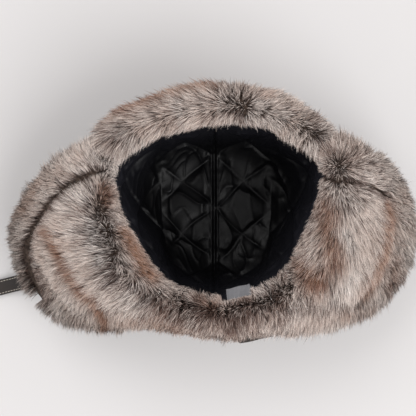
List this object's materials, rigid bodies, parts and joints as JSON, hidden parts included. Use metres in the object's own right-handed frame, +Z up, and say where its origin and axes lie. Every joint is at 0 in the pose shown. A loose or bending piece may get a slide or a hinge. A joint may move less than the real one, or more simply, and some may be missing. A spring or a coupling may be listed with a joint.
{
  "type": "aviator hat",
  "caption": "Fur-trimmed aviator hat lying on its crown: leather crown, quilted lining, fur front flap folded up, spread fur ear flaps, narrow neck band and a leather chin strap.",
  "frame": {"origin": "middle of the crown's flat rest face, on the surface that the hat lies on", "axes": "+Z up, out of the head opening; +Y to the hat's front; +X to the ear flap at the picture's right"},
  "size_m": [0.4308, 0.2522, 0.1517],
  "materials": {
    "leather": "dark brown grained leather, off-white stitching",
    "satin_lining": "black polyester satin, diamond quilted",
    "fur": "long grey-brown pile with dark roots and cream tips",
    "woven_label": "small grey woven satin label, bare"
  },
  "bodies": {
    "root": {"crown_shell": "leather", "crown_lining": "satin_lining", "lining_label": "woven_label", "front_flap": "leather", "front_flap_fur": "fur", "ear_flap_left": "leather", "ear_flap_fur_left": "fur", "neck_flap": "leather", "neck_flap_fur": "fur", "ear_flap_right": "leather", "ear_flap_fur_right": "fur", "chin_strap": "leather"}
  },
  "joints": []
}
